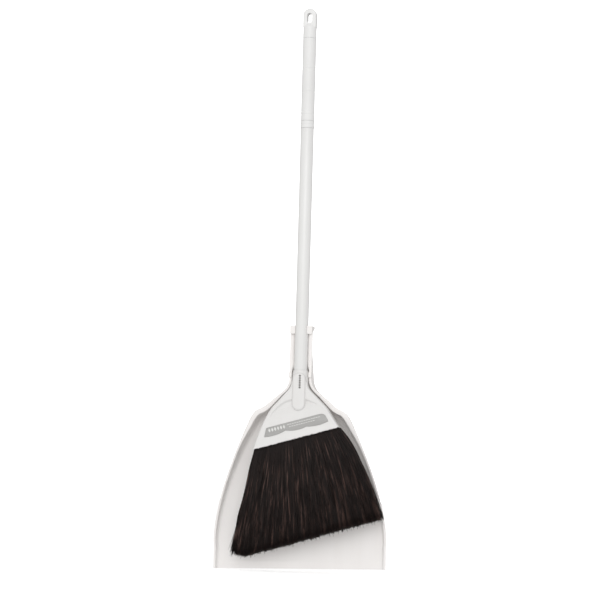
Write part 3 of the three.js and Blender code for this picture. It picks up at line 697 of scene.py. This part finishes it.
def screws():
    """Pan-head screws with a cross recess, seen on the back of the head."""
    for node, (x, z) in SCREWS.items():
        low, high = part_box(node)
        face = high.y / MM
        rings = []
        for radius, depth in (
            (1.35, low.y / MM), (1.4, face - 1.9), (SCREW_HEAD_RADIUS - 0.15, face - 1.9),
            (SCREW_HEAD_RADIUS, face - 1.6), (SCREW_HEAD_RADIUS, face - 1.1),
            (SCREW_HEAD_RADIUS - 0.5, face - 0.5), (SCREW_HEAD_RADIUS - 1.5, face - 0.12), (0.6, face),
        ):
            line = arc((x, z), radius, 0, 360, 40)[:-1]
            rings.append(np.stack([line[:, 0], np.full(len(line), depth), line[:, 1]], 1))
        screw = lofted(node.replace("head_", "detailed_"), rings)
        for wide, tall in ((1.9, 0.32), (0.32, 1.9)):
            line = np.array([
                (x - wide, z - tall), (x + wide, z - tall), (x + wide, z + tall), (x - wide, z + tall)])
            carved(screw, plate("cross", line, face - 1.0, face + 2))
        finished(screw, STEEL, "broom", [node], 30)


# ---- Bristles ---------------------------------------------------------------------------------


def strand_lines(rng, count, depths, steps, clumps, spread=0.006):
    """Middle lines of hairs in clumps, as [strand, step, xyz], and the clump of each hair."""
    centre = (np.arange(clumps) + rng.uniform(0.1, 0.9, clumps)) / clumps
    clump = rng.integers(0, clumps, count)
    share = np.clip(centre[clump] + rng.normal(0, spread, count), 0.0, 1.0)
    left, right = np.array(LEFT_STRANDS), np.array(RIGHT_STRANDS)
    root, bend, tip = (left[i] + (right[i] - left[i]) * share[:, None] for i in range(3))
    root[:, 1] = edge_height(root[:, 0], 1.0)
    bend[:, 0] += rng.normal(0, 1.3, clumps)[clump] + rng.normal(0, 0.7, count)
    tip[:, 0] += rng.normal(0, 1.5, clumps)[clump] + rng.normal(0, 0.9, count)
    tip[:, 1] += rng.normal(0, 1.3, clumps)[clump] + np.abs(rng.normal(0, 1.8, count)) - 1.4
    loose = rng.random(count) < 0.05
    tip += np.where(loose[:, None], rng.normal(0, (4.0, 2.6), (count, 2)), 0)
    corner = 1 - eased(share, 0.0, 0.075)
    tip[:, 1] += corner * rng.uniform(3.0, 17.0, count)
    tip[:, 0] -= corner * rng.uniform(-1.5, 3.5, count)
    tip[:, 0] += eased(share, 0.95, 1.0) * rng.uniform(-1.5, 4.5, count)

    t = np.linspace(0, 1, steps + 1)[None, :, None]
    flat = root[:, None] * (1 - t) ** 2 + bend[:, None] * 2 * t * (1 - t) + tip[:, None] * t * t
    t = t[..., 0]
    turns = rng.uniform(0.8, 2.2, clumps)[clump, None] * t + rng.random(clumps)[clump, None]
    swing = rng.normal(0, 0.8, clumps)[clump, None] * np.minimum(t * 1.6, 1)
    own = rng.uniform(0.8, 2.4, (count, 1)) * t + rng.random((count, 1))
    own_swing = rng.normal(0, 0.35, (count, 1)) * np.minimum(t * 1.6, 1)
    flat[..., 0] += np.sin(turns * 2 * math.pi) * swing + np.sin(own * 2 * math.pi) * own_swing
    middle = rng.uniform(*depths, clumps)[clump] * 0.6 + rng.uniform(*depths, count) * 0.4
    depth = middle[:, None] * (1 + 0.10 * t) + np.cos(turns * 2 * math.pi) * swing * 0.5
    lines = np.stack([flat[..., 0], depth, flat[..., 1]], -1)
    return lines, clump


def dark_tones(rng, clump, steps):
    """Tone of each strand at each step, for hair that is dark with some variety between clumps."""
    of_clump = rng.beta(1.0, 2.2, clump.max() + 1) * 0.9
    tone = of_clump[clump] * rng.uniform(0.6, 1.4, len(clump))
    # Painted shade: the tone drops towards the root, darkest under the head, so tips are a little paler.
    return tone[:, None] * (0.8 + 0.3 * np.linspace(0, 1, steps + 1) ** 2)


def sheen_tones(rng, clump, steps):
    """Tone of strands that are paler over a part of their length, one part to a clump: painted highlights
    where clumps of hair catch the light.
    """
    clumps = clump.max() + 1
    t = np.linspace(0, 1, steps + 1)
    middle, half = rng.uniform(0.16, 1.0, clumps), rng.uniform(0.05, 0.20, clumps)
    near = np.clip(1 - ((t - middle[clump, None]) / half[clump, None]) ** 2, 0, 1)
    peak = rng.uniform(0.55, 1.0, clumps)[clump, None] * rng.uniform(0.75, 1.1, (len(clump), 1))
    return 0.15 + (peak - 0.15) * np.sqrt(near)


def strand_mesh(name, lines, tone, thickness):
    """Three-sided tapering hairs along the given lines, all in one mesh."""
    count, points = lines.shape[:2]
    t = np.linspace(0, 1, points)
    radius = thickness[:, None] * (1 - 0.55 * t ** 2)
    turn = np.array([0.5, 2.594, 4.689])
    across = np.stack([np.cos(turn), np.sin(turn), np.zeros(3)], -1)
    verts = lines[:, :, None] + across[None, None] * radius[..., None, None]
    verts = (verts.reshape(-1, 3) - [0, 0, SLOT_ABOVE_LIP]) * MM
    step = np.arange(points - 1)[:, None] * 3
    side = np.arange(3)[None]
    after = (side + 1) % 3
    quads = np.stack([step + side, step + 3 + side, step + 3 + after, step + after], -1).reshape(-1, 4)
    ends = np.array([[0, 1, 2], [3 * points - 1, 3 * points - 2, 3 * points - 3]])
    start = (np.arange(count) * points * 3)[:, None, None]
    corners = np.concatenate(
        [(quads[None] + start).reshape(count, -1), (ends[None] + start).reshape(count, -1)], 1)
    sizes = np.tile(np.array([4] * len(quads) + [3, 3]), count)

    mesh = bpy.data.meshes.new(name)
    mesh.vertices.add(len(verts))
    mesh.vertices.foreach_set("co", verts.ravel())
    mesh.loops.add(corners.size)
    mesh.loops.foreach_set("vertex_index", corners.ravel().astype(np.int32))
    mesh.polygons.add(len(sizes))
    first = np.concatenate([[0], np.cumsum(sizes)[:-1]])
    mesh.polygons.foreach_set("loop_start", first.astype(np.int32))
    mesh.update(calc_edges=True)
    layer = mesh.attributes.new("tone", "FLOAT", "POINT")
    layer.data.foreach_set("value", np.repeat(np.clip(tone, 0, 1).ravel(), 3).astype(np.float32))
    thing = bpy.data.objects.new(name, mesh)
    bpy.context.scene.collection.objects.link(thing)
    return thing


def tuft_nodes(row):
    return [f"tuft_{row}_{i + 1:02d}" for i in range(TUFTS_PER_ROW)]


def bristles():
    """Three rows of dark hair; on the front and back, paler strands that are painted highlights, and short
    strands at the roots darkened as painted shade under the head.
    """
    rng = np.random.default_rng(23)
    rows = (("front", 4600, (-10.0, -5.0)), ("middle", 2600, (-5.0, 5.0)), ("back", 4000, (5.0, 10.0)))
    for row, count, depths in rows:
        lines, clump = strand_lines(rng, count, depths, ROW_STEPS, ROW_CLUMPS, 0.003)
        dark = dark_tones(rng, clump, ROW_STEPS)
        hair = strand_mesh(f"bristles_{row}", lines, dark, rng.uniform(0.26, 0.40, count))
        finished(hair, HAIR, "broom", tuft_nodes(row), 180)
    for row, depths in (("front", (-11.0, -10.0)), ("back", (10.0, 11.0))):
        # Painted highlights: strands paler over part of their length, where clumps of hair catch the light.
        lines, clump = strand_lines(rng, SHEEN_STRANDS, depths, SHEEN_STEPS, SHEEN_CLUMPS, 0.0008)
        pale = sheen_tones(rng, clump, SHEEN_STEPS)
        thickness = rng.uniform(0.26, 0.40, SHEEN_STRANDS)
        highlight_strands = strand_mesh(f"bristle_sheen_{row}", lines, pale, thickness)
        finished(highlight_strands, HAIR, "broom", (), 180)
        # Painted shade: short strands at the roots, darkened further, stand for the shadow the head casts
        # on the top of the bristles.
        lines, clump = strand_lines(rng, SHADE_STRANDS, depths, SHADE_STEPS, SHADE_CLUMPS)
        roots = lines[:, :1]
        lines = roots + (lines - roots) * rng.uniform(0.10, 0.26, (SHADE_STRANDS, 1, 1))
        dark = dark_tones(rng, clump, SHADE_STEPS) * 0.7
        thickness = rng.uniform(0.26, 0.38, SHADE_STRANDS)
        shaded_roots = strand_mesh(f"bristle_root_shade_{row}", lines, dark, thickness)
        finished(shaded_roots, HAIR, "broom", (), 180)


# ---- Pan --------------------------------------------------------------------------------------


def pan_side():
    """Right-hand side of the pan's rim, from the lip up into the collar."""
    foot = np.array([(LIP_HALF_WIDTH, z) for z in (0, 0.5, 3.5, 7, 10.2, 10.8, 11.4, 14, 18, 23, 28, 33)])
    curves = chain(
        bezier([(LIP_HALF_WIDTH, 33), (LIP_HALF_WIDTH + 0.4, 36), (LIP_HALF_WIDTH + 0.5, 38)], 4),
        bezier([(LIP_HALF_WIDTH + 0.5, 38), (LIP_HALF_WIDTH, 92), (98, 160), (74.5, 208)], 60),
        bezier([(74.5, 208), (67, 224.5), (57.5, 226.4)], 14),
        bezier([(57.5, 226.4), (53, 228), (46, 234)], 8),
        bezier([(46, 234), (25.5, 250.8)], 12),
        bezier([(25.5, 250.8), (16, 257.5), (CHANNEL_RADIUS, 270)], 14),
        bezier([(CHANNEL_RADIUS, 270), (CHANNEL_RADIUS, 334)], 30),
    )
    return chain(foot, evened(curves, 2.2, closed=False))


# Depth of the rim at heights up the pan's side, as [height, depth].
RIM_PROFILE = np.array([
    (-30, 27.8), (20, 26.8), (62, 24.8), (106, 21.0), (150, 16.0), (184, 9.4),
    (215, 3.5), (230, 1.4), (245, 0.0), (262, CHANNEL_FRONT), (400, CHANNEL_FRONT)])


def rim_depth(z):
    return np.interp(z, RIM_PROFILE[:, 0], RIM_PROFILE[:, 1])


def outer_corner(offset, heel):
    """Depth of the pan's back at a distance in from its side: square at the heel, round above it."""
    round_over = 4.5
    near = np.clip(1 - offset / round_over, 0, 1)
    square = heel - round_over * (1 - math.sqrt(1 - near ** 2))
    disc = math.sqrt(max(CHANNEL_RADIUS ** 2 - (CHANNEL_RADIUS - offset) ** 2, 0.0))
    return max(square, disc)


def pan_section(z):
    """Half of the pan's section at a height, from floor to back: [distance in from the rim, depth]."""
    slope = (z - HEEL_START) / (HEEL_TOP - HEEL_START)
    heel = PAN_BACK + (HEEL_TOP_DEPTH - PAN_BACK) * max(slope, 0.0)
    back = max(heel, CHANNEL_RADIUS)
    ramp = np.clip(z / LIP_RAMP, 0, 1)
    neck = eased(z, 246, 268)
    snug = eased(z, SNUG_BOTTOM - 1.5, SNUG_BOTTOM + 1.5)
    floor = back - LIP_EDGE - (PAN_WALL - LIP_EDGE) * ramp
    floor -= (CHANNEL_RADIUS - CHANNEL_BORE - PAN_WALL) * neck + (CHANNEL_BORE - SNUG_BORE) * snug
    flange = FLANGE * (1 - neck)
    rim = rim_depth(z)
    wall = RIM_WIDTH + SHOULDER_RIM * eased(z, 165, 222) * (1 - eased(z, 226, 256))
    wall += (CHANNEL_RADIUS - CHANNEL_BORE - RIM_WIDTH) * neck
    flare = (CHANNEL_BORE - SNUG_BORE) * snug
    round_in = 4.0 + (CHANNEL_BORE - 4.1) * eased(z, 252, SNUG_BOTTOM)
    inner = round_in - flare
    points = [(wall + round_in - inner * math.sin(t), floor - inner * (1 - math.cos(t)))
              for t in np.linspace(0, math.pi / 2, 8)]
    foot = floor - inner
    points += [(wall + flare * (1 - s), foot - (foot - rim) * s) for s in (0.33, 0.66)]
    points += [(wall, rim + 0.9), (wall - 0.2, rim + 0.3), (wall - 0.8, rim), (wall * 0.5, rim)]
    points += [(0.8, rim), (0.22, rim + 0.25), (0.0, rim + 0.8), (0.0, rim + FLANGE_THICKNESS - 0.5)]
    under = rim + FLANGE_THICKNESS
    points += [(flange * 0.3, under - 0.05), (flange * 0.75, under + 0.05), (flange, under + 0.5)]
    for offset in (0.0, 0.25, 0.8, 1.8, 3.0, 4.5, 7.2, 10.4, 13.5):
        points.append((flange + offset, max(outer_corner(offset, heel), under + 1.0)))
    return points


def pan_tray():
    """Floor, walls, rim, heel and channel as one moulding, drawn section by section."""
    side = pan_side()
    inward = normals(side, closed=False)
    rings = []
    for (x, z), (nx, nz) in zip(side, inward):
        draft = PAN_DRAFT * (1 - eased(z, 240, 262))
        half = [((x + nx * o) * (1 - draft * y), y, z + nz * o) for o, y in pan_section(z)]
        half = [(px, py, max(pz, 0.0) if z > 0 else 0.0) for px, py, pz in half]
        inner, outer = half[0], half[-1]
        spans = np.linspace(0, 1, 7)[:-1]
        front = [(inner[0] * s, inner[1], inner[2]) for s in spans]
        rear = [(outer[0] * s, outer[1], outer[2]) for s in spans[1:]][::-1] + [(0.0, outer[1], outer[2])]
        right = front + half + rear
        left = [(-px, py, pz) for px, py, pz in right[1:-1]][::-1]
        ring = np.array(right + left)
        ring[:, 2] += ring[:, 0] * LIP_SLOPE * (1 - eased(z, LIP_RAMP, 60))
        rings.append(ring)
    return lofted("pan_tray", rings)


def snap_collar():
    """The collar round the pipe: jaws that wrap a little in front of it, deep at the top edge."""
    bore = PIPE_RADIUS + 0.4
    open_at = math.degrees(math.asin(8.0 / bore))
    inner = arc((0, 0), bore, -90 + open_at, 270 - open_at, 48)
    out = CHANNEL_RADIUS + 0.12
    right_jaw = [(8.9, -7.0), (out - 0.8, -7.0), (out - 0.2, -6.8), (out, -6.2)]
    corner = arc((out - 4, 16), 4.0, 0, 90, 8)
    outer_right = np.vstack([right_jaw, corner])
    outer_left = (outer_right * [-1, 1])[::-1]
    outline = np.vstack([inner[::-1], outer_right, outer_left])
    bottom = CHANNEL_TOP - COLLAR_HEIGHT
    rings = [np.column_stack([outline, np.full(len(outline), z)]) for z in (bottom, CHANNEL_TOP)]
    collar = lofted("snap_collar", rings)
    under = [(-60, 0), (-4, 0), (21, 10.5), (60, 27), (60, -60), (-60, -60)]
    wedge = [[(x, y, bottom - 0.01 + z if z >= 0 else bottom + z) for y, z in under] for x in (-30, 30)]
    cutter = lofted("wedge", [np.array(w, float) for w in wedge])
    carved(collar, cutter)
    return softened(collar, 0.3, 3, 0.5)


def lug_pair():
    """Small blocks on the channel's edges that grip the socket."""
    lugs = []
    for side in (-1, 1):
        xs = sorted((side * (SOCKET_RADIUS + 0.35), side * 16.3))
        line = evened(np.array([(xs[0], 270.6), (xs[1], 270.6), (xs[1], 278), (xs[0], 278)]), 0.5)
        lugs.append(plate("lug", line, -6.2, 2.5, 0.9, 4))
    return merged("socket_lugs", lugs)


def pan():
    finished(pan_tray(), PAN_WHITE, "pan", ["pan_body"], 32)
    finished(snap_collar(), PAN_WHITE, "pan", (), 50)
    finished(lug_pair(), PAN_WHITE, "pan", (), 40)
    disc = arc((0, 120), 3.2, 0, 360, 40)[:-1]
    gate = plate("moulding_gate", disc, PAN_BACK - 0.2, PAN_BACK + 0.25, 0.2, 3)
    finished(gate, PAN_WHITE, "pan", (), 40)


# ---- Studio -----------------------------------------------------------------------------------


def emissive(name, strength, colour):
    """A white surface that also glows, for the floor and the backdrop."""
    shader = Shader(name, 1.0)
    shader.colour(shader.ramp(shader.noise(0.7, 2.0), [(0.3, colour), (0.7, tinted(colour, 1.02))]))
    shader.surface.inputs["Specular IOR Level"].default_value = 0.0
    shader.surface.inputs["Emission Color"].default_value = (1, 1, 1, 1)
    shader.surface.inputs["Emission Strength"].default_value = strength
    return shader.material


def staged(name, verts, faces, material):
    """A piece of the studio, which the object's own light doesn't depend on."""
    mesh = bpy.data.meshes.new(name)
    mesh.from_pydata(verts, [], faces)
    mesh.materials.append(material)
    thing = bpy.data.objects.new(name, mesh)
    bpy.context.scene.collection.objects.link(thing)
    thing.visible_diffuse = thing.visible_glossy = False
    return thing


def studio_floor():
    ring = arc((0, 0), 40.0, 0, 360, 64)[:-1]
    level = cad_box[0].z - 0.5 * MM
    verts = [(x, y, level) for x, y in ring]
    staged("floor", verts, [tuple(range(len(ring)))], emissive("studio_floor", FLOOR_GLOW, (0.9, 0.9, 0.9)))


def studio_backdrop():
    """A white drum all round the studio, with a lid."""
    sides, radius, low, high = 64, 39.0, -1.0, 30.0
    ring = arc((0, 0), radius, 0, 360, sides)[:-1]
    verts = [(x, y, z) for z in (low, high) for x, y in ring]
    faces = grid_faces(2, sides) + [tuple(range(sides, 2 * sides))]
    drum = staged("backdrop", verts, faces, emissive("studio_backdrop", 1.0, (0.9, 0.9, 0.9)))
    drum.visible_shadow = False


def studio_world():
    """Soft surroundings: brighter in front of the set than at its sides and behind it."""
    world = bpy.data.worlds.new("studio")
    bpy.context.scene.world = world
    world.use_nodes = True
    tree = world.node_tree
    background = tree.nodes["Background"]
    background.inputs["Color"].default_value = (1, 0.995, 0.99, 1)
    place = tree.nodes.new("ShaderNodeTexCoord")
    split = tree.nodes.new("ShaderNodeSeparateXYZ")
    front = tree.nodes.new("ShaderNodeMath")
    front.operation = "MINIMUM"
    front.inputs[1].default_value = 0.0
    squared = tree.nodes.new("ShaderNodeMath")
    squared.operation = "POWER"
    squared.inputs[1].default_value = 2.0
    level = tree.nodes.new("ShaderNodeMapRange")
    level.inputs["To Min"].default_value = SIDE_LIGHT
    level.inputs["To Max"].default_value = FRONT_LIGHT
    tree.links.new(place.outputs["Generated"], split.inputs["Vector"])
    tree.links.new(split.outputs["Y"], front.inputs[0])
    tree.links.new(front.outputs["Value"], squared.inputs[0])
    tree.links.new(squared.outputs["Value"], level.inputs["Value"])
    tree.links.new(level.outputs["Result"], background.inputs["Strength"])


def sun(name, azimuth, elevation, strength, spread):
    """A large soft light. Azimuth 0 shines from the front, and positive is from the right."""
    light = bpy.data.lights.new(name, "SUN")
    light.energy = strength
    light.angle = math.radians(spread)
    lamp = bpy.data.objects.new(name, light)
    a, e = math.radians(azimuth), math.radians(elevation)
    source = Vector((math.sin(a) * math.cos(e), -math.cos(a) * math.cos(e), math.sin(e)))
    lamp.rotation_mode = "QUATERNION"
    lamp.rotation_quaternion = source.to_track_quat("Z", "Y")
    bpy.context.scene.collection.objects.link(lamp)


def studio_camera():
    """A long lens, low and a little to the right, rolled so that the set leans in the picture."""
    azimuth = math.radians(CAMERA_AZIMUTH)
    aim = Vector((
        -AIM_LEFT * math.cos(azimuth), AIM_DEPTH - AIM_LEFT * math.sin(azimuth), AIM_HEIGHT))
    place = Vector((
        math.sin(azimuth) * CAMERA_DISTANCE, AIM_DEPTH - math.cos(azimuth) * CAMERA_DISTANCE,
        CAMERA_HEIGHT))
    forward = (aim - place).normalized()
    right = forward.cross(Vector((0, 0, 1))).normalized()
    up = right.cross(forward)
    roll = math.radians(CAMERA_ROLL)
    tilted = right * math.cos(roll) + up * math.sin(roll)
    upright = up * math.cos(roll) - right * math.sin(roll)
    camera = bpy.data.cameras.new("camera")
    camera.lens, camera.sensor_width = CAMERA_LENS, 36.0
    camera.clip_start, camera.clip_end = 0.05, 200.0
    holder = bpy.data.objects.new("camera", camera)
    turn = Matrix((tilted, upright, -forward)).transposed().to_4x4()
    holder.matrix_world = Matrix.Translation(place) @ turn
    bpy.context.scene.collection.objects.link(holder)
    bpy.context.scene.camera = holder


def studio():
    studio_floor()
    studio_backdrop()
    studio_world()
    sun("key_light", 8.0, 18.0, KEY_LIGHT, 36.0)
    studio_camera()
    view = bpy.context.scene.view_settings
    view.view_transform, view.look = "Standard", "None"


# ---- Assembly ---------------------------------------------------------------------------------

studio()
handle()
hanging_loop()
split_shells(whole_head())
label()
screws()
bristles()
pan()

block = bpy.data.objects["bristle_block"]
block.data.materials.clear()
block.data.materials.append(WOOD)
